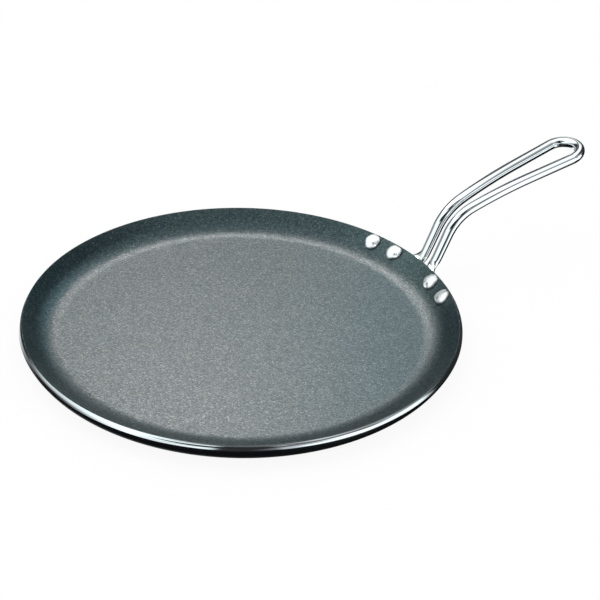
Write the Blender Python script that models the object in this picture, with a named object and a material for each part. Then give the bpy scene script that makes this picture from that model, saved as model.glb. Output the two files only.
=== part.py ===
# Griddle pan: a shallow coated disc with a bare rim, and a looped rod handle riveted to its wall.
# Metres, +Z up. The origin is the centre of the flat base, and the handle runs out along +X.

from math import asin, atan, atan2, cos, hypot, pi, radians, sin, sqrt, tan

import bmesh
import bpy
import numpy as np
from mathutils import Matrix, Vector

# Pan: slopes are from level, and the rim's two corners bound its bare face
RIM_RADIUS = 0.1500
RIM_HEIGHT = 0.0140
RIM_FACE = 0.0036
RIM_FACE_SLOPE = radians(55)
FLOOR_THICKNESS = 0.0050
INNER_SLOPE = radians(38)
INNER_FILLET = 0.0290
OUTER_SLOPE = radians(65)
OUTER_STRAIGHT = 0.0030

# Handle: a round rod whose legs rise beside the wall, bend over the elbow and open into a loop
ROD_DIAMETER = 0.0078
LEG_DIAMETER = 0.0073
LEG_GAP = 0.0012
LEG_SPACING = 0.0126
LEG_LENGTH = 0.0206
ELBOW_RADIUS = 0.0350
ELBOW_SLOPE = radians(20)
SWEEP_RADIUS = 0.3600
GRIP_SLOPE = radians(12)
GRIP_LENGTH = 0.0370
PARALLEL_LENGTH = 0.0370
SPREAD_EASE = 0.0100
LOOP_RADIUS = 0.0129

# Pads: the legs' ends, forged flat and turned sideways along the outside of the wall
PAD_THICKNESS = 0.0032
PAD_HEIGHT = 0.0115
PAD_BEND = 0.0115
PAD_RISE = 0.0012
PAD_CORNER = 0.0040
PAD_MARGIN = 0.0075
PAD_SQUARENESS = 4.5

# Rivets: two through each pad, placed in from the rim and by their angle from the handle's middle plane
RIVET_INSET = 0.0051
RIVET_TILT = radians(45)
NEAR_RIVET_ANGLE = radians(9.36)
FAR_RIVET_ANGLE = radians(17.93)
HEAD_DIAMETER = 0.0115
HEAD_HEIGHT = 0.0025
SHANK_DIAMETER = 0.0050
TAIL_DIAMETER = 0.0084
TAIL_HEIGHT = 0.0016
RIVET_EDGE = 0.0004

# Clearances
SEAT_GAP = 0.0003
HOLE_CLEARANCE = 0.0003

# Smoothness
PAN_STEPS = 128
ARC_STEP = radians(7)
ROD_SIDES = 20
RIVET_SIDES = 28


def direction(slope):
    return np.array([cos(slope), sin(slope)])


def outward(slope):
    """Square to a wall of this slope, away from the pan."""
    return np.array([sin(slope), -cos(slope)])


# The pan's section, in radius and height
outer_corner = np.array([RIM_RADIUS, RIM_HEIGHT])
top_corner = outer_corner + RIM_FACE * np.array([-cos(RIM_FACE_SLOPE), sin(RIM_FACE_SLOPE)])
knee_top = outer_corner - OUTER_STRAIGHT * direction(OUTER_SLOPE)
knee_radius = knee_top[1] / (1 - cos(OUTER_SLOPE))
knee_centre = knee_top - knee_radius * outward(OUTER_SLOPE)
inner_rise = top_corner[1] - FLOOR_THICKNESS - INNER_FILLET * (1 - cos(INNER_SLOPE))
fillet_top = top_corner - inner_rise / sin(INNER_SLOPE) * direction(INNER_SLOPE)
fillet_centre = fillet_top - INNER_FILLET * outward(INNER_SLOPE)

# A rivet's axis leaves the inner wall at its seat, passes the middle of the pad and reaches its tail
rivet_seat = top_corner - RIVET_INSET * np.array([1, tan(INNER_SLOPE)])
pad_offset = SEAT_GAP + PAD_THICKNESS / 2
leg_offset = LEG_GAP + LEG_DIAMETER / 2 - pad_offset
tail_offset = SEAT_GAP + PAD_THICKNESS + SEAT_GAP


def reach(offset):
    """How far along a rivet's axis the surface at this distance outside the knee lies."""
    start = rivet_seat - knee_centre
    b = start @ outward(RIVET_TILT)
    return sqrt(b * b - start @ start + (knee_radius + offset) ** 2) - b


def slope_at(point):
    """The slope of the knee's arc beside this point."""
    return atan2(point[0] - knee_centre[0], knee_centre[1] - point[1])


rivet_slope = slope_at(rivet_seat + reach(pad_offset) * outward(RIVET_TILT))
pad_slope = rivet_slope + PAD_RISE / (knee_radius + pad_offset)
pad_radius = (knee_centre + (knee_radius + pad_offset) * outward(pad_slope))[0]
tail_slope = slope_at(rivet_seat + reach(tail_offset) * outward(RIVET_TILT))


def arc(centre, radius, start, end):
    """Points along an arc of the section, from one slope to another."""
    steps = max(2, round(abs(end - start) / ARC_STEP))
    return [centre + radius * outward(slope) for slope in np.linspace(start, end, steps + 1)]


def material(name, colour, roughness, metallic):
    made = bpy.data.materials.new(name)
    made.use_nodes = True
    shader = made.node_tree.nodes["Principled BSDF"]
    shader.inputs["Base Color"].default_value = (*colour, 1)
    shader.inputs["Roughness"].default_value = roughness
    shader.inputs["Metallic"].default_value = metallic
    return made


def finished_mesh(bm, name, finish=None):
    """The mesh of a bmesh, with its faces out and its creases sharp."""
    bmesh.ops.recalc_face_normals(bm, faces=bm.faces)
    mesh = bpy.data.meshes.new(name)
    bm.to_mesh(mesh)
    bm.free()
    mesh.shade_smooth()
    mesh.set_sharp_from_angle(angle=radians(35))
    if finish:
        mesh.materials.append(finish)
    return mesh


def add_object(name, mesh):
    made = bpy.data.objects.new(name, mesh)
    bpy.context.scene.collection.objects.link(made)
    return made


def add_holes(thing, cutter):
    boolean = thing.modifiers.new("rivet holes", "BOOLEAN")
    boolean.operation = "DIFFERENCE"
    boolean.solver = "EXACT"
    boolean.object = cutter


def skin(rings):
    """A bmesh through rings of points, where a ring of one point closes an end."""
    bm = bmesh.new()
    loops = [[bm.verts.new(point) for point in ring] for ring in rings]
    for a, b in zip(loops, loops[1:]):
        for i in range(max(len(a), len(b))):
            corners = [a[i % len(a)], a[(i + 1) % len(a)], b[(i + 1) % len(b)], b[i % len(b)]]
            bm.faces.new(dict.fromkeys(corners))
    if len(loops[0]) > 1:
        bm.faces.new(loops[0])
    return bm


def make_pan(cutter):
    """The section, turned round the pan's axis."""
    inside = arc(fillet_centre, INNER_FILLET, 0, INNER_SLOPE)
    outside = arc(knee_centre, knee_radius, OUTER_SLOPE, 0)
    points = [(0, FLOOR_THICKNESS), *inside, top_corner, outer_corner, *outside, (0, 0)]
    bm = bmesh.new()
    verts = [bm.verts.new((radius, 0, height)) for radius, height in points]
    edges = [bm.edges.new(pair) for pair in zip(verts, verts[1:])]
    section = verts + edges
    bmesh.ops.spin(bm, geom=section, axis=(0, 0, 1), cent=(0, 0, 0), angle=2 * pi, steps=PAN_STEPS)
    bmesh.ops.remove_doubles(bm, verts=bm.verts, dist=0.00001)
    coating = material("pan_coating", (0.11, 0.125, 0.125), 0.5, 0.2)
    pan = add_object("pan_body", finished_mesh(bm, "pan_body", coating))
    add_holes(pan, cutter)


def wrap(azimuth, climb, offset):
    """A point beside the outer wall, by its climb above the pads' middle line and its offset from it."""
    rise = (OUTER_SLOPE - pad_slope) * (knee_radius + pad_offset)
    slope = pad_slope + min(climb, rise) / (knee_radius + pad_offset)
    radius, height = knee_centre + (knee_radius + pad_offset + offset) * outward(slope)
    if climb > rise:
        radius, height = (radius, height) + (climb - rise) * direction(slope)
    return np.array([radius * cos(azimuth), radius * sin(azimuth), height])


def outline(width, thickness, power):
    """The rod's section: a circle at a power of 2, a flat bar with rounded corners at higher ones."""
    angles = 2 * pi * np.arange(ROD_SIDES) / ROD_SIDES
    c, s = np.cos(angles), np.sin(angles)
    size = (np.abs(c) ** power + np.abs(s) ** power) ** (-1 / power)
    return zip(width / 2 * size * c, thickness / 2 * size * s)


def pad_rings():
    """The flat pad from its end to its bend, then the bend, where it swells into the round leg."""
    end = pad_radius * FAR_RIVET_ANGLE + PAD_MARGIN
    start = pad_radius * asin(LEG_SPACING / 2 / pad_radius) + PAD_BEND
    stations = []
    for turn in np.linspace(0, pi / 2, 6):
        height = PAD_HEIGHT - 2 * PAD_CORNER * (1 - sin(turn))
        stations.append((end - PAD_CORNER * (1 - cos(turn)), 0, 0, height))
    for along in np.linspace(end - PAD_CORNER, start, 8)[1:]:
        stations.append((along, 0, 0, PAD_HEIGHT))
    for turn in np.linspace(0, pi / 2, round(pi / 2 / ARC_STEP) + 1)[1:]:
        climb = PAD_BEND * (1 - cos(turn))
        stations.append((start - PAD_BEND * sin(turn), climb, turn, PAD_HEIGHT))
    rings = []
    for along, climb, turn, height in stations:
        share = sin(turn / 2) ** 2 * 2
        width = height + (LEG_DIAMETER - PAD_HEIGHT) * share
        thickness = PAD_THICKNESS + (LEG_DIAMETER - PAD_THICKNESS) * share
        power = PAD_SQUARENESS + (2 - PAD_SQUARENESS) * share
        radius = hypot(*wrap(0, climb, leg_offset * share)[:2])
        azimuth = asin(pad_radius * sin(along / pad_radius) / radius)
        ring = []
        for across, out in outline(width, thickness, power):
            place = azimuth + across * sin(turn) / radius
            ring.append(wrap(place, climb + across * cos(turn), leg_offset * share + out))
        rings.append(ring)
    return rings


# The handle's middle line, up from the pads: each stretch's length and the slope that it ends at
stretches = [
    (LEG_LENGTH, OUTER_SLOPE),
    (ELBOW_RADIUS * (OUTER_SLOPE - ELBOW_SLOPE), ELBOW_SLOPE),
    (SWEEP_RADIUS * (ELBOW_SLOPE - GRIP_SLOPE), GRIP_SLOPE),
    (GRIP_LENGTH, GRIP_SLOPE),
]
grip_end = sum(length for length, end in stretches)


def spine(distance):
    """X, Z and slope of the middle line, at a distance from the foot of the legs."""
    foot = wrap(0, PAD_BEND, leg_offset)
    half = LEG_SPACING / 2
    point = np.array([sqrt(foot[0] ** 2 - half ** 2), foot[2]])
    slope = OUTER_SLOPE
    for length, end in stretches:
        run = min(distance, length)
        turned = slope - (slope - end) * run / length
        if end == slope:
            point = point + run * direction(slope)
        else:
            radius = length / (slope - end)
            point = point + radius * (outward(slope) - outward(turned))
        slope = turned
        distance -= run
    return point + distance * direction(slope), slope


def rod_stations():
    """Distance along the spine, half the spacing and the diameter, from a leg's foot to the loop's tip."""
    half = LEG_SPACING / 2
    open_length = grip_end - PARALLEL_LENGTH
    spread = asin(LOOP_RADIUS / hypot(half, open_length)) - atan(half / open_length)
    distances = []
    begin = 0
    for (length, _), steps in zip(stretches, (4, 8, 6, 4)):
        distances += list(np.linspace(begin, begin + length, steps + 1)[1:])
        begin += length
    loop_start = grip_end - LOOP_RADIUS * sin(spread)
    stations = []
    for distance in distances[:-1]:
        past = distance - PARALLEL_LENGTH
        eased = max(past + SPREAD_EASE, 0) ** 2 / (4 * SPREAD_EASE) if past < SPREAD_EASE else past
        swell = min(distance / LEG_LENGTH, 1)
        diameter = LEG_DIAMETER + (ROD_DIAMETER - LEG_DIAMETER) * swell
        stations.append((distance, half + eased * tan(spread), diameter))
    for turn in np.linspace(-spread, pi / 2, round((pi / 2 + spread) / ARC_STEP) + 1):
        stations.append((grip_end + LOOP_RADIUS * sin(turn), LOOP_RADIUS * cos(turn), ROD_DIAMETER))
    return stations


def rod_rings():
    """Round sections square to the rod, the last one on the handle's middle plane."""
    centres = []
    normals = []
    diameters = []
    for distance, side, diameter in rod_stations():
        (x, z), slope = spine(distance)
        centres.append(np.array([x, side, z]))
        normals.append(np.array([sin(slope), 0, -cos(slope)]))
        diameters.append(diameter)
    mirrored = centres[-2] * (1, -1, 1)
    before = wrap(0, PAD_BEND, leg_offset) * (1, 0, 1) + (0, LEG_SPACING / 2, 0)
    path = [before, *centres, mirrored]
    rings = []
    for i, (centre, normal, diameter) in enumerate(zip(centres, normals, diameters)):
        along = path[i + 2] - path[i]
        across = np.cross(along, normal)
        across /= np.linalg.norm(across)
        out = np.cross(across, along)
        out /= np.linalg.norm(out)
        rings.append([centre + a * across + b * out for a, b in outline(diameter, diameter, 2)])
    return rings


def make_handle(cutter):
    """Half the hairpin, mirrored across its middle plane."""
    bm = skin(pad_rings() + rod_rings())
    steel = material("polished_steel", (0.75, 0.75, 0.76), 0.08, 1.0)
    handle = add_object("handle", finished_mesh(bm, "handle", steel))
    mirror = handle.modifiers.new("other leg", "MIRROR")
    mirror.use_axis = (False, True, False)
    mirror.use_mirror_merge = True
    mirror.merge_threshold = 0.00002
    add_holes(handle, cutter)


def rivet_ring(level, tilt, radius, height):
    """A circle round the rivet's axis, in a plane that tilts from it and raised square to that plane."""
    angles = 2 * pi * np.arange(RIVET_SIDES) / RIVET_SIDES
    across = np.array([cos(tilt), 0, -sin(tilt)])
    up = np.array([sin(tilt), 0, cos(tilt)])
    centre = level * np.array([0, 0, 1]) + height * up
    if radius == 0:
        return [centre]
    return [centre + radius * (cos(a) * across + sin(a) * np.array([0, 1, 0])) for a in angles]


def dome(level, tilt, radius, height):
    """Rings from a dome's top to its underside. A height below zero hangs the dome upside down."""
    edge = RIVET_EDGE * (1 if height > 0 else -1)
    rings = []
    for angle in np.linspace(0, pi / 2, 7):
        rise = edge + (height - edge) * cos(angle)
        rings.append(rivet_ring(level, tilt, radius * sin(angle), rise))
    rings.append(rivet_ring(level, tilt, radius, 0))
    rings.append(rivet_ring(level, tilt, SHANK_DIAMETER / 2, 0))
    return rings


def make_rivets():
    """Each head sits square to the inner wall, and each peened tail square to the pad."""
    head_tilt = RIVET_TILT - INNER_SLOPE
    tail_tilt = RIVET_TILT - tail_slope
    head = dome(SEAT_GAP / cos(head_tilt), head_tilt, HEAD_DIAMETER / 2, HEAD_HEIGHT)
    tail = dome(-reach(tail_offset), tail_tilt, TAIL_DIAMETER / 2, -TAIL_HEIGHT)
    finish = material("rivet_aluminium", (0.85, 0.85, 0.86), 0.25, 1.0)
    mesh = finished_mesh(skin(head + tail[::-1]), "rivet", finish)
    for name, angle in rivet_angles().items():
        rivet = add_object(name, mesh)
        rivet.location = (rivet_seat[0] * cos(angle), rivet_seat[0] * sin(angle), rivet_seat[1])
        rivet.rotation_euler = (0, -RIVET_TILT, angle)


def rivet_angles():
    return {
        "rivet_left_near": NEAR_RIVET_ANGLE,
        "rivet_left_far": FAR_RIVET_ANGLE,
        "rivet_right_near": -NEAR_RIVET_ANGLE,
        "rivet_right_far": -FAR_RIVET_ANGLE,
    }


def make_hole_cutter():
    """A bar along each rivet's axis, longer than the wall and the pad together."""
    beyond = HEAD_DIAMETER
    length = reach(tail_offset) + 2 * beyond
    bm = bmesh.new()
    for angle in rivet_angles().values():
        seat = Vector((rivet_seat[0] * cos(angle), rivet_seat[0] * sin(angle), rivet_seat[1]))
        turn = Matrix.Rotation(angle, 4, "Z") @ Matrix.Rotation(-RIVET_TILT, 4, "Y")
        middle = Matrix.Translation((0, 0, beyond - length / 2))
        bmesh.ops.create_cone(
            bm,
            cap_ends=True,
            segments=RIVET_SIDES,
            radius1=SHANK_DIAMETER / 2 + HOLE_CLEARANCE,
            radius2=SHANK_DIAMETER / 2 + HOLE_CLEARANCE,
            depth=length,
            matrix=Matrix.Translation(seat) @ turn @ middle,
        )
    cutter = add_object("hole_cutter", finished_mesh(bm, "hole_cutter"))
    cutter.hide_render = True
    cutter.display_type = "WIRE"
    return cutter


for thing in list(bpy.data.objects):
    bpy.data.objects.remove(thing, do_unlink=True)

hole_cutter = make_hole_cutter()
make_pan(hole_cutter)
make_handle(hole_cutter)
make_rivets()
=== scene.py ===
# Griddle pan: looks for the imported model, in metres, +Z up, handle along +X
from math import asin, atan, atan2, cos, hypot, pi, radians, sin, sqrt, tan

import bpy
import numpy as np
from mathutils import Matrix, Vector


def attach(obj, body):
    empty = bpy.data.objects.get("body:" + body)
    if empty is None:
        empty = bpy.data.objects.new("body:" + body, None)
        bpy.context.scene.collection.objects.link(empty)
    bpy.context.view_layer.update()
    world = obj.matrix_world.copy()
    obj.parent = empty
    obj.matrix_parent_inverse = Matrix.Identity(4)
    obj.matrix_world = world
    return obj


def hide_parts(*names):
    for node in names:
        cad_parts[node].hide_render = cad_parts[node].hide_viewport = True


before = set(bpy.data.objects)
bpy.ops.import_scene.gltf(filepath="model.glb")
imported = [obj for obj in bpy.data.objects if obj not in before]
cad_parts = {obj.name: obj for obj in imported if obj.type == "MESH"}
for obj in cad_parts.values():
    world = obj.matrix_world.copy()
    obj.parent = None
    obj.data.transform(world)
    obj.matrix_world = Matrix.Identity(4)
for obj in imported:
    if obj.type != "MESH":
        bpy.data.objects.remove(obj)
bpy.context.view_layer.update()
print("frame loaded")


# Camera: at the photograph's viewing angle

cameraSettings = {
    "place": (-0.45842, -0.79401, 0.60259),
    "aim": (0.04568, -0.00091, 0.014),
    "roll": radians(2.122),  # anticlockwise
    "lens": 96,
    "sensor": 36,
    "nearClip": 0.05,
}


def makeCamera(settings):
    data = bpy.data.cameras.new("camera")
    data.lens = settings["lens"]
    data.sensor_width = settings["sensor"]
    data.sensor_fit = "HORIZONTAL"
    data.clip_start = settings["nearClip"]
    camera = bpy.data.objects.new("camera", data)
    bpy.context.scene.collection.objects.link(camera)
    view = Vector(settings["aim"]) - Vector(settings["place"])
    roll = Matrix.Rotation(settings["roll"], 3, "Z")
    turn = view.to_track_quat("-Z", "Y").to_matrix() @ roll
    camera.matrix_world = Matrix.Translation(settings["place"]) @ turn.to_4x4()
    bpy.context.scene.camera = camera


makeCamera(cameraSettings)


# Shapes: grids of points put into meshes

def meshFromGrid(name, grid, firstPole, lastPole):
    # rows of the grid are rings that close on themselves, and a fan closes each end to its pole
    rings, around = grid.shape[:2]
    points = np.vstack([grid.reshape(-1, 3), firstPole, lastPole])
    here = np.arange(around)
    beside = (here + 1) % around
    ring = np.arange(rings - 1)[:, None] * around
    above = ring + around
    quads = np.stack([ring + here, ring + beside, above + beside, above + here], axis=-1)
    top = (rings - 1) * around
    pole = np.full(around, rings * around)
    firstFan = np.stack([beside, here, pole], axis=-1)
    lastFan = np.stack([top + here, top + beside, pole + 1], axis=-1)
    faces = quads.reshape(-1, 4).tolist() + firstFan.tolist() + lastFan.tolist()
    mesh = bpy.data.meshes.new(name)
    mesh.from_pydata(points.tolist(), [], faces)
    mesh.validate()
    mesh.shade_smooth()
    piece = bpy.data.objects.new(name, mesh)
    bpy.context.scene.collection.objects.link(piece)
    return piece


def faceOutward(piece, middle):
    # turns all faces round if they point into the solid, which makes its volume negative:
    # a third of the sum of each face's area times its middle's distance along its normal
    mesh = piece.data
    count = len(mesh.polygons)
    centres = np.empty(count * 3)
    normals = np.empty(count * 3)
    areas = np.empty(count)
    mesh.polygons.foreach_get("center", centres)
    mesh.polygons.foreach_get("normal", normals)
    mesh.polygons.foreach_get("area", areas)
    away = centres.reshape(-1, 3) - middle
    volume = np.sum(areas * np.einsum("ij,ij->i", away, normals.reshape(-1, 3))) / 3
    if volume < 0:
        mesh.flip_normals()


def addLayer(piece, name, values):
    # one value a point, as an attribute that the piece's material reads
    layer = piece.data.attributes.new(name, "FLOAT", "POINT")
    layer.data.foreach_set("value", values.astype(np.float32))


# The pan: its section in radius and height, turned round its axis

panShape = {
    "rimRadius": 0.1500,
    "rimHeight": 0.0140,  # of the rim's outer corner over the base
    "rimFace": 0.0036,
    "rimSlope": radians(55),
    "rimCrown": 0.00022,  # how far the rim's face bulges
    "cornerRound": 0.00035,
    "floorThickness": 0.0050,
    "innerSlope": radians(38),
    "innerFillet": 0.0290,
    "outerSlope": radians(65),
    "outerStraight": 0.0030,
    "outerFullness": 0.0007,  # how far the outside bulges past its plain arc
    "fadeSlope": radians(34),  # the bulge dies away below this slope
    "bulgeStart": 0.15,  # of the straight outer wall, from the rim's corner
    "edgeGap": 0.00002,  # the bulge stays this far inside the rim
    "poleGap": 0.0020,  # radius of the rings next to the two poles
    "around": 512,
    "flatSteps": 30,
    "filletSteps": 24,
    "wallSteps": 8,
    "cornerSteps": 7,
    "faceSteps": 14,
    "outerSteps": 9,
    "kneeSteps": 26,
}
# places of the pan's finishes in its list of materials
coated, bare, enamelled = 0, 1, 2


def direction(slope):
    # up along a wall of this slope
    return np.array([np.cos(slope), np.sin(slope)])


def outward(slope):
    # square to a wall of this slope, away from the pan's middle
    return np.array([np.sin(slope), -np.cos(slope)])


def arcPoints(centre, radius, start, end, steps):
    # the centre plus the radius along the outward direction at slopes from start to end
    slopes = np.linspace(start, end, steps)
    return centre + radius * outward(slopes).T


p = panShape
outerCorner = np.array([p["rimRadius"], p["rimHeight"]])
topCorner = outerCorner + p["rimFace"] * np.array([-cos(p["rimSlope"]), sin(p["rimSlope"])])
kneeTop = outerCorner - p["outerStraight"] * direction(p["outerSlope"])
kneeRadius = kneeTop[1] / (1 - cos(p["outerSlope"]))
kneeCentre = kneeTop - kneeRadius * outward(p["outerSlope"])
innerRise = topCorner[1] - p["floorThickness"] - p["innerFillet"] * (1 - cos(p["innerSlope"]))
filletTop = topCorner - innerRise / sin(p["innerSlope"]) * direction(p["innerSlope"])
filletCentre = filletTop - p["innerFillet"] * outward(p["innerSlope"])


def roundedCorner(before, corner, after, size, steps):
    # a parabola from this size before the corner to as far after it, touching both lines: each
    # point is the start, the corner and the end, mixed by (1 - t) squared, 2 t (1 - t) and t squared
    start = corner + size * (before - corner) / np.linalg.norm(before - corner)
    end = corner + size * (after - corner) / np.linalg.norm(after - corner)
    t = np.linspace(0, 1, steps)[:, None]
    return (1 - t) ** 2 * start + 2 * t * (1 - t) * corner + t ** 2 * end


def panSection():
    # from the middle of the floor over the rim to the middle of the base, with each point's finish
    steps = p["flatSteps"]
    floorRadius = np.linspace(p["poleGap"], filletCentre[0], steps)
    floor = np.stack([floorRadius, np.full(steps, p["floorThickness"])], axis=1)
    fillet = arcPoints(filletCentre, p["innerFillet"], 0, p["innerSlope"], p["filletSteps"])
    wall = filletTop + np.linspace(0, 1, p["wallSteps"])[1:-1, None] * (topCorner - filletTop)
    size = p["cornerRound"]
    top = roundedCorner(filletTop, topCorner, outerCorner, size, p["cornerSteps"])
    low = roundedCorner(topCorner, outerCorner, kneeTop, size, p["cornerSteps"])
    # the rim's face is a straight line plus a crown of 4 t (1 - t) times its height
    t = np.linspace(0, 1, p["faceSteps"])[1:-1, None]
    faceNormal = direction(pi / 2 - p["rimSlope"])
    face = top[-1] + t * (low[0] - top[-1]) + 4 * t * (1 - t) * p["rimCrown"] * faceNormal
    t = np.linspace(p["bulgeStart"], 1, p["outerSteps"])[1:-1, None]
    outerWall = outerCorner + t * (kneeTop - outerCorner)
    outerWall += p["outerFullness"] * outward(p["outerSlope"])
    # the bulge hangs straight down from the rim's edge, never past it, and dies away along the arc:
    # it is the fullness times the squared sine of a quarter turn that is spread over the fade slope
    outerWall[:, 0] = np.minimum(outerWall[:, 0], p["rimRadius"] - p["edgeGap"])
    slopes = np.linspace(p["outerSlope"], 0, p["kneeSteps"])
    fading = p["outerFullness"] * np.sin(np.minimum(slopes / p["fadeSlope"], 1) * pi / 2) ** 2
    knee = kneeCentre + (kneeRadius + fading[:, None]) * outward(slopes).T
    baseRadius = np.linspace(kneeCentre[0], p["poleGap"], steps)
    base = np.stack([baseRadius, np.zeros(steps)], axis=1)[1:]
    parts = [floor, fillet[1:], wall, top, face, low, outerWall, knee, base]
    finishes = [coated] * 4 + [bare] * 2 + [enamelled] * 3
    finish = [np.full(len(part), number) for part, number in zip(parts, finishes)]
    return np.vstack(parts), np.concatenate(finish)


def makePan():
    section, finish = panSection()
    around = p["around"]
    azimuths = 2 * pi * np.arange(around) / around
    # a point's place is its radius along the azimuth, and its height
    radius = section[:, 0][:, None]
    grid = np.stack([
        radius * np.cos(azimuths),
        radius * np.sin(azimuths),
        np.repeat(section[:, 1][:, None], around, axis=1),
    ], axis=-1)
    pan = meshFromGrid("pan", grid, (0, 0, p["floorThickness"]), (0, 0, 0))
    faceOutward(pan, np.array([0, 0, p["floorThickness"] / 2]))
    # the faces come ring by ring, and then the fans at the floor's and the base's poles
    perRing = np.repeat(np.maximum(finish[:-1], finish[1:]), around)
    perFace = np.concatenate([perRing, np.full(around, coated), np.full(around, enamelled)])
    pan.data.polygons.foreach_set("material_index", perFace.astype(np.int32))
    return pan


pan = makePan()
print("pan made")


# The handle: one polished rod, bent to a hairpin, its two ends forged flat beside the wall

handleShape = {
    "rod": 0.0078,  # thickness in the grip
    "leg": 0.0073,  # thickness in the legs
    "legGap": 0.0012,  # between the legs and the wall
    "legSpacing": 0.0126,
    "legLength": 0.0206,
    "legStart": 0.0006,  # where the round rod begins above the pad's bend
    "elbowRadius": 0.0350,
    "elbowSlope": radians(20),  # at the elbow's upper end
    "sweepRadius": 0.3600,
    "gripSlope": radians(12),
    "gripLength": 0.0370,
    "parallel": 0.0370,  # distance along the rod to where the legs part
    "spreadEase": 0.0100,
    "loopRadius": 0.0129,
    "padThickness": 0.0032,
    "padHeight": 0.0115,
    "padBend": 0.0115,
    "padRise": 0.0012,  # of the pad's middle line over the rivets
    "padCorner": 0.0040,
    "padMargin": 0.0075,  # past the far rivet
    "padSquareness": 4.5,  # power of the pad's outline, where 2 is a circle
    "padEnd": 0.55,  # how thick the pad's very end is, as a share
    "padTaper": 0.75,  # how much thinner the pad is at its upper edge
    "padDrop": 0.0012,  # how far its upper edge lies below the lower edge's mirror image
    "easeRings": 14,  # rings on each side of the join of pad and rod that are eased into each other
    "easePasses": 12,
    "seatGap": 0.0003,  # between pieces that touch
    "forgedRings": 60,  # rings from the pad's end to where its forged finish and painted shade have gone
    "fadeRings": 30,  # over how many of them it fades
    "around": 56,
    "cornerStart": 0.12,  # radians, of the rounded end's first ring
    "cornerSteps": 14,
    "padSteps": 24,
    "bendSteps": 36,
    "rodSteps": 150,
    "loopSteps": 40,
}

rivetShape = {
    "inset": 0.0051,  # from the rim's inner corner
    "tilt": radians(45),
    "nearAngle": radians(9.36),
    "farAngle": radians(17.93),
    "head": 0.0115,
    "headHeight": 0.0025,
    "shank": 0.0050,
    "tail": 0.0084,
    "tailHeight": 0.0016,
    "edge": 0.0004,
    "edgeFoot": (1.0, 0.985),  # radius at the top and the foot of the edge, as shares
    "edgeTop": 0.25,  # height of its top, as a share of the edge
    "fullness": 0.72,  # 1 is a plain quarter ellipse, and less is a flatter top with a rounder edge
    "spread": 1.02,
    "waves": (2, 3, 5),  # how many times round each wave of the uneven outline goes
    "uneven": (0.040, 0.044, 0.030),  # how high these waves are, as shares of the radius
    "dentDepth": 0.0014,
    "dentSize": 0.0014,
    "around": 96,
    "domeStart": 0.05,  # radians, of the first ring round the dome's pole
    "domeSteps": 22,
}

h = handleShape
r = rivetShape
rivetSeat = topCorner - r["inset"] * np.array([1, tan(p["innerSlope"])])
padOffset = h["seatGap"] + h["padThickness"] / 2
legOffset = h["legGap"] + h["leg"] / 2 - padOffset
tailOffset = h["seatGap"] + h["padThickness"] + h["seatGap"]


def reach(offset):
    # how far along a rivet's axis the surface at this distance outside the knee lies
    start = rivetSeat - kneeCentre
    b = start @ outward(r["tilt"])
    return sqrt(b * b - start @ start + (kneeRadius + offset) ** 2) - b


def slopeBeside(point):
    # the knee's slope where a line from its centre through the point meets it
    return np.arctan2(point[0] - kneeCentre[0], kneeCentre[1] - point[1])


padTurn = kneeRadius + padOffset
padSlope = slopeBeside(rivetSeat + reach(padOffset) * outward(r["tilt"])) + h["padRise"] / padTurn
padRadius = (kneeCentre + padTurn * outward(padSlope))[0]
tailSlope = slopeBeside(rivetSeat + reach(tailOffset) * outward(r["tilt"]))


def wallPlace(azimuth, climb, offset):
    # up the outer wall's knee and then its straight part by the climb, out from it by the offset,
    # and round the pan by the azimuth
    rise = (p["outerSlope"] - padSlope) * padTurn
    slope = padSlope + np.minimum(climb, rise) / padTurn
    past = np.maximum(climb - rise, 0)
    radius = kneeCentre[0] + (padTurn + offset) * np.sin(slope) + past * np.cos(slope)
    height = kneeCentre[1] - (padTurn + offset) * np.cos(slope) + past * np.sin(slope)
    return np.stack([radius * np.cos(azimuth), radius * np.sin(azimuth), height], axis=-1)


def rodOutline(width, thickness, power):
    # a superellipse: a circle at a power of 2, and a flat bar with rounded corners at higher ones
    angles = 2 * pi * np.arange(h["around"]) / h["around"]
    c, s = np.cos(angles), np.sin(angles)
    size = (np.abs(c) ** power[:, None] + np.abs(s) ** power[:, None]) ** (-1 / power[:, None])
    return width[:, None] / 2 * size * c, thickness[:, None] / 2 * size * s


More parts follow.
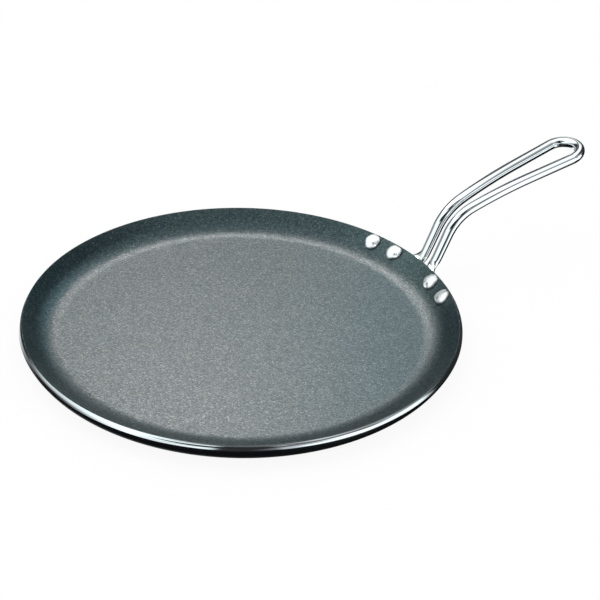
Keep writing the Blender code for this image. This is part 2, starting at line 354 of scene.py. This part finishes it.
def padRings():
    # the flat pad from its round-cornered end to its bend, then a quarter turn up the wall as it
    # swells to the leg, with a superellipse for each ring
    end = padRadius * r["farAngle"] + h["padMargin"]
    start = padRadius * asin(h["legSpacing"] / 2 / padRadius) + h["padBend"]
    corner = np.linspace(h["cornerStart"], pi / 2, h["cornerSteps"])
    rounded = end - h["padCorner"] * (1 - np.cos(corner))
    straight = np.linspace(end - h["padCorner"], start, h["padSteps"])[1:]
    turn = np.linspace(0, pi / 2, h["bendSteps"])[1:]
    flat = np.zeros(len(corner) + len(straight))
    along = np.concatenate([rounded, straight, start - h["padBend"] * np.sin(turn)])
    climb = np.concatenate([flat, h["padBend"] * (1 - np.cos(turn))])
    turned = np.concatenate([flat, turn])
    height = np.full(len(along), h["padHeight"])
    height[:len(corner)] -= 2 * h["padCorner"] * (1 - np.sin(corner))
    thin = np.ones(len(along))
    thin[:len(corner)] = h["padEnd"] + (1 - h["padEnd"]) * np.sin(corner) ** 0.5
    # how far the section has gone from the pad's to the leg's, 0 on the flat and 1 where it ends
    share = 2 * np.sin(turned / 2) ** 2
    width = height + (h["leg"] - h["padHeight"]) * share
    thickness = (h["padThickness"] + (h["leg"] - h["padThickness"]) * share) * thin
    power = h["padSquareness"] + (2 - h["padSquareness"]) * share
    middle = wallPlace(np.zeros(len(along)), climb, legOffset * share)
    radius = np.hypot(middle[:, 0], middle[:, 1])
    azimuth = np.arcsin(padRadius * np.sin(along / padRadius) / radius)
    across, out = rodOutline(width, thickness, power)
    # from the pad's middle line to its upper edge the outer face comes down to the wall, and the
    # edge drops a little
    upper = (1 - share[:, None]) * np.maximum(across / (width[:, None] / 2), 0)
    out = out - h["padTaper"] * upper * (out + thickness[:, None] / 2)
    across = across - h["padDrop"] * upper
    place = azimuth[:, None] + across * np.sin(turned)[:, None] / radius[:, None]
    up = climb[:, None] + across * np.cos(turned)[:, None]
    return wallPlace(place, up, (legOffset * share)[:, None] + out)


# each stretch of the rod from the pad up: its length and the slope at its end
stretches = [
    (h["legLength"], p["outerSlope"]),
    (h["elbowRadius"] * (p["outerSlope"] - h["elbowSlope"]), h["elbowSlope"]),
    (h["sweepRadius"] * (h["elbowSlope"] - h["gripSlope"]), h["gripSlope"]),
    (h["gripLength"], h["gripSlope"]),
]
gripEnd = sum(length for length, slope in stretches)
foot = wallPlace(0.0, h["padBend"], legOffset)


def spinePlace(distance):
    # x, z and slope of the middle line: each stretch adds a straight run, or an arc from one slope
    # to the next
    half = h["legSpacing"] / 2
    x = np.full(len(distance), sqrt(foot[0] ** 2 - half ** 2))
    z = np.full(len(distance), foot[2])
    slope = p["outerSlope"]
    here = np.full(len(distance), slope)
    left = distance.astype(float)
    for length, end in stretches:
        run = np.clip(left, 0, length)
        here = np.where(left > 0, slope - (slope - end) * run / length, here)
        if end == slope:
            x += run * cos(slope)
            z += run * sin(slope)
        else:
            radius = length / (slope - end)
            turned = slope - (slope - end) * run / length
            x += radius * (sin(slope) - np.sin(turned))
            z += radius * (np.cos(turned) - cos(slope))
        left = left - run
        slope = end
    past = np.maximum(left, 0)
    return x + past * cos(slope), z + past * sin(slope), here


def rodPath():
    # distance, half spacing and diameter up a leg, along the grip, where the legs ease apart, and
    # round half the loop
    half = h["legSpacing"] / 2
    openLength = gripEnd - h["parallel"]
    spread = asin(h["loopRadius"] / hypot(half, openLength)) - atan(half / openLength)
    loopStart = gripEnd - h["loopRadius"] * sin(spread)
    distance = np.linspace(h["legStart"], loopStart, h["rodSteps"])[:-1]
    past = distance - h["parallel"]
    ease = h["spreadEase"]
    eased = np.where(past < ease, np.maximum(past + ease, 0) ** 2 / (4 * ease), past)
    side = half + eased * tan(spread)
    diameter = h["leg"] + (h["rod"] - h["leg"]) * np.minimum(distance / h["legLength"], 1)
    turn = np.linspace(-spread, pi / 2, h["loopSteps"])
    distance = np.concatenate([distance, gripEnd + h["loopRadius"] * np.sin(turn)])
    side = np.concatenate([side, h["loopRadius"] * np.cos(turn)])
    diameter = np.concatenate([diameter, np.full(len(turn), h["rod"])])
    return distance, side, diameter


def unit(vectors):
    return vectors / np.linalg.norm(vectors, axis=-1, keepdims=True)


def rodRings():
    # round sections square to the rod: at each middle point a circle in the plane of the across and
    # out directions
    distance, side, diameter = rodPath()
    x, z, slope = spinePlace(distance)
    centres = np.stack([x, side, z], axis=1)
    mirrored = centres[-2] * (1, -1, 1)
    before = np.array([foot[0], h["legSpacing"] / 2, foot[2]])
    path = np.vstack([before, centres, mirrored])
    tangent = unit(path[2:] - path[:-2])
    normal = np.stack([np.sin(slope), np.zeros(len(slope)), -np.cos(slope)], axis=1)
    across = unit(np.cross(tangent, normal))
    out = unit(np.cross(across, tangent))
    a, b = rodOutline(diameter, diameter, np.full(len(diameter), 2.0))
    circles = a[:, :, None] * across[:, None, :] + b[:, :, None] * out[:, None, :]
    return centres[:, None, :] + circles


def easeJoin(rings, middle):
    # each ring near the join moves a quarter of the way to its two neighbours, a few times over
    first, last = middle - h["easeRings"], middle + h["easeRings"]
    for _ in range(h["easePasses"]):
        rings[first:last] += (
            rings[first - 1 : last - 1] - 2 * rings[first:last] + rings[first + 1 : last + 1]
        ) / 4


def makeHandle():
    pad = padRings()
    left = np.concatenate([pad, rodRings()])
    easeJoin(left, len(pad))
    # the other leg is the same rings mirrored in the handle's plane, run back from the loop to the
    # pad
    right = (left * np.array([1, -1, 1]))[::-1][1:]
    grid = np.concatenate([left, right])
    handle = meshFromGrid("handle_rod", grid, grid[0].mean(axis=0), grid[-1].mean(axis=0))
    faceOutward(handle, grid.reshape(-1, 3).mean(axis=0))
    # 1 on the flat of a pad, falling to 0 over its bend: it marks the pad's forged roughness and its
    # painted shade
    fade = np.clip((h["forgedRings"] - np.arange(len(left))) / h["fadeRings"], 0, 1)
    perRing = np.concatenate([fade, fade[::-1][1:]])
    addLayer(handle, "forged", np.concatenate([np.repeat(perRing, h["around"]), [1, 1]]))
    return handle


handle = makeHandle()
print("handle made")


# Rivets: a domed head square to the inner wall, a shank, and a peened tail square to the pad

def rivetRings(phase, dentAngle, dentShare):
    headTilt = r["tilt"] - p["innerSlope"]
    tailTilt = r["tilt"] - tailSlope
    angles = 2 * pi * np.arange(r["around"]) / r["around"]
    # the hammer leaves the outline uneven, as a sum of cosine waves round it
    outline = r["spread"] + sum(
        size * np.cos(times * angles + phase * times ** 2)
        for times, size in zip(r["waves"], r["uneven"])
    )

    def rings(level, tilt, radius, height):
        # circles round the rivet's axis in a tilted plane, each raised square to that plane
        across = np.array([cos(tilt), 0, -sin(tilt)])
        up = np.array([sin(tilt), 0, cos(tilt)])
        centre = np.array([0, 0, level]) + height[:, None] * up
        circle = np.cos(angles)[:, None] * across + np.sin(angles)[:, None] * np.array([0, 1, 0])
        return centre[:, None, :] + radius[:, None, None] * outline[:, None] * circle

    def dome(level, tilt, radius, height):
        # a filled-out quarter ellipse turned round the axis, on a short upright edge, and then the
        # underside as far as the shank
        edge = r["edge"] * np.sign(height)
        angle = np.linspace(r["domeStart"], pi / 2, r["domeSteps"])
        wide = radius * np.sin(angle) ** r["fullness"]
        high = edge + (height - edge) * np.maximum(np.cos(angle), 0) ** r["fullness"]
        size = np.concatenate([wide, radius * np.array(r["edgeFoot"]), [r["shank"] / 2]])
        rise = np.concatenate([high, [edge * r["edgeTop"], 0, 0]])
        return rings(level, tilt, size, rise)

    head = dome(h["seatGap"] / cos(headTilt), headTilt, r["head"] / 2, r["headHeight"])
    # a bell-shaped dent near the head's edge: its depth falls off as e to the power of minus the
    # squared distance beside its middle, over its squared size
    up = np.array([sin(headTilt), 0, cos(headTilt)])
    way = (cos(headTilt) * cos(dentAngle), sin(dentAngle), -sin(headTilt) * cos(dentAngle))
    dent = head[0].mean(axis=0) + r["head"] / 2 * dentShare * np.array(way)
    beside = head - dent
    beside = beside - (beside @ up)[..., None] * up
    depth = r["dentDepth"] * np.exp(-np.sum(beside ** 2, axis=-1) / r["dentSize"] ** 2)
    depth[r["domeSteps"]:] = 0
    head = head - depth[..., None] * up
    tail = dome(-reach(tailOffset), tailTilt, r["tail"] / 2, -r["tailHeight"])
    return np.concatenate([head, tail[::-1]])


def makeRivet(name, angle, phase, dentAngle, dentShare):
    rings = rivetRings(phase, dentAngle, dentShare)
    poles = [rings[0].mean(axis=0), rings[-1].mean(axis=0)]
    radius, height = rivetSeat
    seat = Matrix.Translation((radius * cos(angle), radius * sin(angle), height))
    turn = Matrix.Rotation(angle, 4, "Z") @ Matrix.Rotation(-r["tilt"], 4, "Y")
    rivet = meshFromGrid(name, rings, *poles)
    faceOutward(rivet, rings.reshape(-1, 3).mean(axis=0))
    rivet.data.transform(seat @ turn)
    return rivet


# each rivet's angle round the pan, its outline's phase, and where its dent is: the angle and the
# share of the head's radius
rivetPlaces = {
    "left_near": (r["nearAngle"], 0.4, radians(-112), 0.70),
    "left_far": (r["farAngle"], 1.7, radians(-118), 0.68),
    "right_near": (-r["nearAngle"], 2.9, radians(-165), 0.78),
    "right_far": (-r["farAngle"], 4.1, radians(172), 0.76),
}
rivets = {
    "rivet_" + place: makeRivet("rivet_head_" + place, *marks)
    for place, marks in rivetPlaces.items()
}
print("rivets made")


# Materials

# between these values lies nearly all of a noise texture
noiseSpan = (0.3, 0.7)


def newMaterial(name):
    material = bpy.data.materials.new(name)
    material.use_nodes = True
    nodes = material.node_tree.nodes
    return material, nodes, material.node_tree.links, nodes["Principled BSDF"]


def addNode(nodes, kind, inputs=None, **settings):
    # a node with these settings of its own, and these values in its inputs
    node = nodes.new(kind)
    for name, value in settings.items():
        setattr(node, name, value)
    for name, value in (inputs or {}).items():
        node.inputs[name].default_value = value
    return node


def feed(links, value, socket):
    # another node's output is linked to the socket, and anything else becomes its value
    if hasattr(value, "is_output"):
        links.new(value, socket)
    else:
        socket.default_value = value


def addMath(nodes, links, operation, *values):
    math = addNode(nodes, "ShaderNodeMath", operation=operation)
    for value, socket in zip(values, math.inputs):
        feed(links, value, socket)
    return math.outputs["Value"]


def addRange(nodes, links, value, old=(0, 1), new=(0, 1), **settings):
    # the value, with the old span stretched to the new one and kept inside it
    spans = dict(zip(("From Min", "From Max", "To Min", "To Max"), (*old, *new)))
    span = addNode(nodes, "ShaderNodeMapRange", spans, **settings)
    links.new(value, span.inputs["Value"])
    return span.outputs["Result"]


def mixColours(nodes, links, factor, a, b):
    # a colour mix keeps its factor in socket 0, its colours in 6 and 7 and its result in output 2
    mix = addNode(nodes, "ShaderNodeMix", data_type="RGBA")
    for value, place in ((factor, 0), (a, 6), (b, 7)):
        feed(links, value, mix.inputs[place])
    return mix.outputs[2]


def addBump(nodes, links, shader, height, distance):
    bump = addNode(nodes, "ShaderNodeBump", {"Distance": distance})
    links.new(height, bump.inputs["Height"])
    links.new(bump.outputs["Normal"], shader.inputs["Normal"])


def addRoughness(nodes, links, shader, value, span):
    links.new(addRange(nodes, links, value, noiseSpan, span), shader.inputs["Roughness"])


def newGroup(name, inputs, outputs):
    # a shader node group with these named sockets, each input with its usual value
    group = bpy.data.node_groups.new(name, "ShaderNodeTree")
    for label, kind, value in inputs:
        socket = group.interface.new_socket(label, in_out="INPUT", socket_type=kind)
        socket.default_value = value
    for label, kind in outputs:
        group.interface.new_socket(label, in_out="OUTPUT", socket_type=kind)
    nodes = group.nodes
    return group, nodes, group.links, nodes.new("NodeGroupInput"), nodes.new("NodeGroupOutput")


grainShape = {
    "core": 0.40,  # a speck is full to this far from its middle, in cells
    "edge": 0.80,  # and has gone here
    "between": 0.5,  # tone between the specks
    "clumps": 0.5,  # share of the soft clumps in the tone
    "toneSpan": (0.32, 0.68),
}


def grainGroup(shape):
    # grains of a sprayed coating: lighter and darker specks over soft clumps, some of them bright
    # flecks, and a height
    group, nodes, links, given, made = newGroup(
        "sprayed grain",
        [("Grains per metre", "NodeSocketFloat", 900.0), ("Flecks", "NodeSocketFloat", 0.1)],
        [
            ("Tone", "NodeSocketFloat"),
            ("Height", "NodeSocketFloat"),
            ("Fleck", "NodeSocketFloat"),
        ],
    )
    place = nodes.new("ShaderNodeTexCoord")
    cells = addNode(nodes, "ShaderNodeTexVoronoi", feature="F1")
    clumps = addNode(nodes, "ShaderNodeTexNoise", {"Detail": 3.0, "Roughness": 0.7})
    for texture in (cells, clumps):
        links.new(place.outputs["Object"], texture.inputs["Vector"])
        links.new(given.outputs["Grains per metre"], texture.inputs["Scale"])
    perCell = nodes.new("ShaderNodeSeparateColor")
    links.new(cells.outputs["Color"], perCell.inputs["Color"])
    # a round soft speck in the middle of each cell, and the middle tone between specks
    speck = addRange(
        nodes, links, cells.outputs["Distance"], (shape["edge"], shape["core"]),
        interpolation_type="SMOOTHSTEP",
    )
    specks = addNode(nodes, "ShaderNodeMix", {"A": shape["between"]}, data_type="FLOAT")
    links.new(speck, specks.inputs["Factor"])
    links.new(perCell.outputs["Red"], specks.inputs["B"])
    mix = addNode(nodes, "ShaderNodeMix", {"Factor": shape["clumps"]}, data_type="FLOAT")
    links.new(specks.outputs["Result"], mix.inputs["A"])
    links.new(clumps.outputs["Fac"], mix.inputs["B"])
    tone = addRange(nodes, links, mix.outputs["Result"], shape["toneSpan"])
    links.new(tone, made.inputs["Tone"])
    links.new(mix.outputs["Result"], made.inputs["Height"])
    isFleck = addMath(nodes, links, "LESS_THAN", perCell.outputs["Green"], given.outputs["Flecks"])
    links.new(addMath(nodes, links, "MULTIPLY", isFleck, speck), made.inputs["Fleck"])
    return group


def turnedGroup():
    # marks of a lathe tool: noise that changes only with the distance from the pan's axis and the
    # height
    group, nodes, links, given, made = newGroup(
        "turned marks",
        [("Marks per metre", "NodeSocketFloat", 3000.0)],
        [("Mark", "NodeSocketFloat")],
    )
    place = nodes.new("ShaderNodeTexCoord")
    flat = addNode(nodes, "ShaderNodeVectorMath", {1: (1, 1, 0)}, operation="MULTIPLY")
    links.new(place.outputs["Object"], flat.inputs[0])
    radius = addNode(nodes, "ShaderNodeVectorMath", operation="LENGTH")
    links.new(flat.outputs["Vector"], radius.inputs[0])
    parts = nodes.new("ShaderNodeSeparateXYZ")
    links.new(place.outputs["Object"], parts.inputs["Vector"])
    section = nodes.new("ShaderNodeCombineXYZ")
    links.new(radius.outputs["Value"], section.inputs["X"])
    links.new(parts.outputs["Z"], section.inputs["Y"])
    marks = addNode(nodes, "ShaderNodeTexNoise", {"Detail": 2.0, "Roughness": 0.6})
    links.new(section.outputs["Vector"], marks.inputs["Vector"])
    links.new(given.outputs["Marks per metre"], marks.inputs["Scale"])
    links.new(marks.outputs["Fac"], made.inputs["Mark"])
    return group


sprayedGrain = grainGroup(grainShape)
turnedMarks = turnedGroup()

coatingLook = {
    "dark": (0.002, 0.008, 0.011, 1),
    "light": (0.007, 0.018, 0.022, 1),
    "fleck": (0.032, 0.046, 0.050, 1),
    "flecks": 0.12,  # share of the grains that are bright flecks
    "grains": 1150,  # per metre
    "toneSpan": (0.2, 0.8),  # what counts as a dark and as a light grain
    "roughness": (0.38, 0.30),  # of the dark and the light grains
    "base": 0.22,  # shine of the tinted layer under the clear top layer
    "baseTint": (0.40, 0.96, 1.0, 1),
    "topLayer": (0.25, 0.65),  # how much clear resin lies on the dark and the light grains
    "sparkle": 0.32,  # how much more lies on the flecks
    "topRoughness": 0.36,
    "topIndex": 1.65,
    "bump": 0.00018,
}


def makeCoating(look):
    material, nodes, links, shader = newMaterial("speckled_coating")
    scale = {"Grains per metre": look["grains"], "Flecks": look["flecks"]}
    grains = addNode(nodes, "ShaderNodeGroup", scale, node_tree=sprayedGrain)
    tone, fleck = grains.outputs["Tone"], grains.outputs["Fleck"]
    colour = mixColours(nodes, links, tone, look["dark"], look["light"])
    colour = mixColours(nodes, links, fleck, colour, look["fleck"])
    links.new(colour, shader.inputs["Base Color"])
    addBump(nodes, links, shader, grains.outputs["Height"], look["bump"])
    addRoughness(nodes, links, shader, tone, look["roughness"])
    resin = addRange(nodes, links, tone, look["toneSpan"], look["topLayer"])
    resin = addMath(nodes, links, "MULTIPLY_ADD", fleck, look["sparkle"], resin)
    links.new(resin, shader.inputs["Coat Weight"])
    shader.inputs["Coat Roughness"].default_value = look["topRoughness"]
    shader.inputs["Coat IOR"].default_value = look["topIndex"]
    shader.inputs["Specular IOR Level"].default_value = look["base"]
    shader.inputs["Specular Tint"].default_value = look["baseTint"]
    return material


outsideLook = {
    "colour": (0.0035, 0.0045, 0.0055, 1),
    "worn": (0.012, 0.013, 0.014, 1),  # on the grains that stand out
    "roughness": (0.30, 0.42),
    "grains": 1400,  # per metre
    "marks": 1500,  # per metre
    "bump": 0.00002,
    "shine": 0.08,
}


def makeOutside(look):
    # the outside's smooth black enamel, its fine orange peel, and the lathe's rings under it
    material, nodes, links, shader = newMaterial("outer_enamel")
    peel = {"Grains per metre": look["grains"]}
    grains = addNode(nodes, "ShaderNodeGroup", peel, node_tree=sprayedGrain)
    rings = {"Marks per metre": look["marks"]}
    turned = addNode(nodes, "ShaderNodeGroup", rings, node_tree=turnedMarks)
    mark = turned.outputs["Mark"]
    colour = mixColours(nodes, links, grains.outputs["Fleck"], look["colour"], look["worn"])
    links.new(colour, shader.inputs["Base Color"])
    height = addMath(nodes, links, "ADD", grains.outputs["Height"], mark)
    addBump(nodes, links, shader, height, look["bump"])
    addRoughness(nodes, links, shader, mark, look["roughness"])
    shader.inputs["Specular IOR Level"].default_value = look["shine"]
    return material


rimLook = {
    "colour": (0.86, 0.87, 0.88, 1),
    "groove": (0.70, 0.72, 0.74, 1),
    "roughness": (0.06, 0.12),
    "marks": 3500,  # per metre across the rim's face
    "bump": 0.000004,
}


def makeRimMetal(look):
    # bare aluminium from the lathe, with fine bright and dull rings
    material, nodes, links, shader = newMaterial("turned_rim")
    rings = {"Marks per metre": look["marks"]}
    turned = addNode(nodes, "ShaderNodeGroup", rings, node_tree=turnedMarks)
    mark = turned.outputs["Mark"]
    colour = mixColours(nodes, links, mark, look["groove"], look["colour"])
    links.new(colour, shader.inputs["Base Color"])
    shader.inputs["Metallic"].default_value = 1.0
    addBump(nodes, links, shader, mark, look["bump"])
    addRoughness(nodes, links, shader, mark, look["roughness"])
    return material


steelLook = {
    "colour": (0.87, 0.88, 0.89, 1),
    # painted shade: the pads' dark colour stands in for the shade and dark reflections that fall on
    # them
    "forgedColour": (0.24, 0.26, 0.28, 1),
    "polished": 0.03,
    "forged": 0.32,  # roughness of the pads, which the polishing wheel reaches less
    "uneven": (0.7, 1.3),  # how the smears change the roughness
    "smears": 90,  # per metre
    "bump": 0.00006,
    "polishedBump": 0.07,  # share of it that is left where the steel is polished
}


def makeSteel(look):
    material, nodes, links, shader = newMaterial("polished_rod")
    place = nodes.new("ShaderNodeTexCoord")
    scale = {"Scale": look["smears"], "Detail": 4.0, "Roughness": 0.6}
    noise = addNode(nodes, "ShaderNodeTexNoise", scale)
    links.new(place.outputs["Object"], noise.inputs["Vector"])
    smears = noise.outputs["Fac"]
    forged = addNode(nodes, "ShaderNodeAttribute", attribute_name="forged").outputs["Fac"]
    rough = addRange(nodes, links, forged, new=(look["polished"], look["forged"]))
    uneven = addRange(nodes, links, smears, noiseSpan, look["uneven"])
    links.new(addMath(nodes, links, "MULTIPLY", rough, uneven), shader.inputs["Roughness"])
    depth = addRange(nodes, links, forged, new=(look["polishedBump"], 1))
    height = addMath(nodes, links, "MULTIPLY", smears, depth)
    addBump(nodes, links, shader, height, look["bump"])
    # painted shade: the flat pads are coloured dark, fading to the polished colour over the bend
    colour = mixColours(nodes, links, forged, look["colour"], look["forgedColour"])
    links.new(colour, shader.inputs["Base Color"])
    shader.inputs["Metallic"].default_value = 1.0
    return material


rivetLook = {
    "colour": (0.91, 0.91, 0.92, 1),
    "pit": (0.45, 0.46, 0.48, 1),
    "pitSpan": (0.28, 0.42),  # noise at which a dent is grey, and at which it is clean
    "metal": 0.75,  # the rest is the pale bloom that soft aluminium takes on
    "roughness": (0.30, 0.44),
    "dents": 420,  # per metre
    "bump": 0.00014,
}


def makeRivetMetal(look):
    # soft aluminium as the hammer left it: shallow dents, and a little grey in the deepest
    material, nodes, links, shader = newMaterial("hammered_rivet")
    place = nodes.new("ShaderNodeTexCoord")
    scale = {"Scale": look["dents"], "Detail": 2.0, "Roughness": 0.5}
    noise = addNode(nodes, "ShaderNodeTexNoise", scale)
    links.new(place.outputs["Object"], noise.inputs["Vector"])
    dents = noise.outputs["Fac"]
    clean = addRange(nodes, links, dents, look["pitSpan"])
    colour = mixColours(nodes, links, clean, look["pit"], look["colour"])
    links.new(colour, shader.inputs["Base Color"])
    shader.inputs["Metallic"].default_value = look["metal"]
    addBump(nodes, links, shader, dents, look["bump"])
    addRoughness(nodes, links, shader, dents, look["roughness"])
    return material


# in the order of the pan's finishes: coated, bare, enamelled
for finish in (makeCoating(coatingLook), makeRimMetal(rimLook), makeOutside(outsideLook)):
    pan.data.materials.append(finish)
handle.data.materials.append(makeSteel(steelLook))
rivetMetal = makeRivetMetal(rivetLook)
for rivet in rivets.values():
    rivet.data.materials.append(rivetMetal)
print("materials made")


# What each piece rides on and stands for

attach(pan, "root")
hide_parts("pan_body")
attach(handle, "root")
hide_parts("handle")
for node, rivet in rivets.items():
    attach(rivet, "root")
    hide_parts(node)


# Floor, lamps and the studio that the metal reflects

studioLook = {
    "floorSize": 6.0,
    "floorColour": (1.0, 1.0, 1.0, 1),
    "floorGlow": 0.92,  # share of plain white in the floor that the camera sees
    "fill": 0.80,  # strength of the even light from all sides
    "overhead": (1.28, 1.42, 1.44, 1),  # what the metal sees where no card hides it
    "facing": (-0.05, 0.05),  # over which a card dies away square to its middle
}

# the cards and screens round the object that polished metal shows, each hiding the ones before it:
# azimuth from the camera's right and height of its middle, in degrees, half width and half height
# as sines, its turn in degrees, how soft its edge is, and its colour
studioCards = [
    (-86.7, -47.7, 0.552, 0.620, -37.9, 0.11, (0.019, 0.023, 0.024)),  # below
    (-81.2, -17.3, 0.611, 0.454, -89.9, 0.11, (0.498, 0.579, 0.619)),  # floor front
    (6.5, -64.7, 0.198, 0.071, -36.6, 0.57, (0.005, 0.006, 0.006)),  # floor ahead
    (110.7, 14.6, 0.736, 0.427, 6.4, 0.22, (0.037, 0.039, 0.040)),  # ahead left
    (160.0, 45.0, 0.260, 0.200, 0.0, 0.40, (2.8, 3.4, 3.3)),  # window
    (-174.5, -52.2, 0.951, 0.690, 67.5, 0.26, (0.003, 0.003, 0.003)),  # left low
    (42.7, -28.9, 0.591, 0.830, 1.4, 0.18, (0.031, 0.033, 0.034)),  # forward block
    (81.5, 39.5, 0.071, 0.639, -13.5, 0.44, (1.119, 1.119, 1.119)),  # strip
    (104.1, 36.4, 0.120, 0.476, -16.9, 0.09, (0.144, 0.150, 0.155)),  # outline
    (-84.9, -28.8, 0.283, 1.298, 1.0, 0.12, (0.028, 0.029, 0.030)),  # camera stand
    (-87.5, 29.2, 0.630, 0.206, 11.1, 0.16, (0.017, 0.020, 0.021)),  # camera bar
    (-57.0, 50.4, 0.725, 0.129, 29.9, 0.25, (0.143, 0.149, 0.154)),  # gap
    (41.9, -38.6, 0.828, 0.279, -2.5, 0.08, (0.003, 0.003, 0.003)),  # bottom ring
    (-26.2, 45.0, 0.185, 0.655, 60.2, 0.59, (0.773, 0.805, 0.829)),  # loop side
    (-45.0, 36.0, 0.850, 0.120, 0.0, 0.80, (0.030, 0.032, 0.034)),  # mid-line
    (35.2, 29.5, 0.304, 0.714, -43.7, 0.39, (0.033, 0.034, 0.035)),  # loop block
    (26.6, 1.0, 0.396, 0.170, 44.8, 0.23, (0.018, 0.021, 0.022)),  # rim right
]


def makeFloor(look):
    half = look["floorSize"] / 2
    mesh = bpy.data.meshes.new("floor")
    corners = [(-half, -half, 0), (half, -half, 0), (half, half, 0), (-half, half, 0)]
    mesh.from_pydata(corners, [], [(0, 1, 2, 3)])
    floor = bpy.data.objects.new("floor", mesh)
    bpy.context.scene.collection.objects.link(floor)
    material, nodes, links, shader = newMaterial("floor_paper")
    shader.inputs["Base Color"].default_value = look["floorColour"]
    shader.inputs["Roughness"].default_value = 1.0
    shader.inputs["Specular IOR Level"].default_value = 0.0
    # what the camera sees is partly plain white, so the object's shadow stays faint
    rays = nodes.new("ShaderNodeLightPath")
    seen = rays.outputs["Is Camera Ray"]
    share = addMath(nodes, links, "MULTIPLY", seen, look["floorGlow"])
    glow = nodes.new("ShaderNodeEmission")
    mix = nodes.new("ShaderNodeMixShader")
    links.new(share, mix.inputs["Fac"])
    links.new(shader.outputs["BSDF"], mix.inputs[1])
    links.new(glow.outputs["Emission"], mix.inputs[2])
    links.new(mix.outputs["Shader"], nodes["Material Output"].inputs["Surface"])
    mesh.materials.append(material)
    floor.visible_glossy = False


makeFloor(studioLook)


def cardGroup(look):
    # mixes a card's light over what is behind it, inside an oval round the card's middle direction
    group, nodes, links, given, made = newGroup(
        "studio card",
        [
            ("Direction", "NodeSocketVector", (0, 0, 1)),
            ("Middle", "NodeSocketVector", (0, 0, 1)),
            ("Across", "NodeSocketVector", (1, 0, 0)),
            ("Up", "NodeSocketVector", (0, 1, 0)),
            ("Soft edge", "NodeSocketFloat", 0.2),
            ("Card", "NodeSocketColor", (0, 0, 0, 1)),
            ("Behind", "NodeSocketColor", (1, 1, 1, 1)),
        ],
        [("Light", "NodeSocketColor")],
    )
    along = {}
    for axis in ("Middle", "Across", "Up"):
        dot = addNode(nodes, "ShaderNodeVectorMath", operation="DOT_PRODUCT")
        links.new(given.outputs["Direction"], dot.inputs[0])
        links.new(given.outputs[axis], dot.inputs[1])
        along[axis] = dot.outputs["Value"]
    oval = nodes.new("ShaderNodeCombineXYZ")
    links.new(along["Across"], oval.inputs["X"])
    links.new(along["Up"], oval.inputs["Y"])
    distance = addNode(nodes, "ShaderNodeVectorMath", operation="LENGTH")
    links.new(oval.outputs["Vector"], distance.inputs[0])
    soft = given.outputs["Soft edge"]
    inside = addNode(nodes, "ShaderNodeMapRange", interpolation_type="SMOOTHSTEP")
    links.new(distance.outputs["Value"], inside.inputs["Value"])
    links.new(addMath(nodes, links, "ADD", 1, soft), inside.inputs["From Min"])
    links.new(addMath(nodes, links, "SUBTRACT", 1, soft), inside.inputs["From Max"])
    facing = addRange(nodes, links, along["Middle"], look["facing"])
    share = addMath(nodes, links, "MULTIPLY", inside.outputs["Result"], facing)
    light = mixColours(nodes, links, share, given.outputs["Behind"], given.outputs["Card"])
    links.new(light, made.inputs["Light"])
    return group


def towards(azimuth, height):
    # a direction, by its azimuth from the camera's right and its height over the horizon, both in
    # degrees
    view = Vector(cameraSettings["aim"]) - Vector(cameraSettings["place"])
    turn = atan2(view.y, view.x) + radians(azimuth - 90)
    rise = radians(height)
    return Vector((cos(rise) * cos(turn), cos(rise) * sin(turn), sin(rise)))


def grey(level):
    return level, level, level, 1


def makeWorld(look, cards):
    world = bpy.data.worlds.new("studio")
    bpy.context.scene.world = world
    world.use_nodes = True
    nodes, links = world.node_tree.nodes, world.node_tree.links
    nodes.clear()
    place = nodes.new("ShaderNodeTexCoord")
    oneCard = cardGroup(look)
    light = look["overhead"]
    for azimuth, height, halfWidth, halfHeight, turn, soft, colour in cards:
        middle = towards(azimuth, height)
        right = towards(azimuth - 90, 0)
        up = right.cross(middle)
        c, s = cos(radians(turn)), sin(radians(turn))
        shape = {
            "Middle": middle,
            "Across": (c * right + s * up) / halfWidth,
            "Up": (c * up - s * right) / halfHeight,
            "Soft edge": soft,
            "Card": (*colour, 1),
        }
        card = addNode(nodes, "ShaderNodeGroup", shape, node_tree=oneCard)
        links.new(place.outputs["Generated"], card.inputs["Direction"])
        feed(links, light, card.inputs["Behind"])
        light = card.outputs["Light"]

    # glossy rays see the cards, the camera sees plain white, and all others see the even fill
    rays = nodes.new("ShaderNodeLightPath")
    seen = mixColours(nodes, links, rays.outputs["Is Glossy Ray"], grey(look["fill"]), light)
    seen = mixColours(nodes, links, rays.outputs["Is Camera Ray"], seen, grey(1))
    shine = nodes.new("ShaderNodeBackground")
    links.new(seen, shine.inputs["Color"])
    out = nodes.new("ShaderNodeOutputWorld")
    links.new(shine.outputs["Background"], out.inputs["Surface"])


makeWorld(studioLook, studioCards)


# area lamps: place, width, depth, power in watts, colour, whether glossy surfaces show them, and
# the one piece that they light, if it isn't everything
lamps = {
    "ceiling": ((-0.5, 0.6, 2.0), 2.0, 2.0, 12, (1, 1, 1), False, None),
    "softbox": ((0.912, 1.870, 1.874), 0.75, 0.59, 21.9, (1.0, 0.87, 0.865), True, pan),
    "side head": ((0.608, 2.121, 1.724), 0.75, 0.59, 3.6, (0.86, 1.0, 0.96), True, pan),
    "cool panel": ((0.601, 0.601, 0.617), 0.28, 0.22, 0.31, (0.05, 0.80, 1.0), True, pan),
}


def makeLamp(name, place, width, depth, power, colour, shown, lit):
    # an area lamp that faces the middle of the base
    data = bpy.data.lights.new(name, "AREA")
    data.shape = "RECTANGLE"
    data.size = width
    data.size_y = depth
    data.energy = power
    data.color = colour
    lamp = bpy.data.objects.new(name, data)
    bpy.context.scene.collection.objects.link(lamp)
    lamp.location = place
    lamp.rotation_euler = (-lamp.location).to_track_quat("-Z", "Y").to_euler()
    lamp.visible_glossy = shown
    lamp.visible_camera = False
    if lit:
        receivers = bpy.data.collections.new(name + " receivers")
        receivers.objects.link(lit)
        lamp.light_linking.receiver_collection = receivers


for name, settings in lamps.items():
    makeLamp(name, *settings)
bpy.context.scene.view_settings.view_transform = "Standard"
print("studio made")
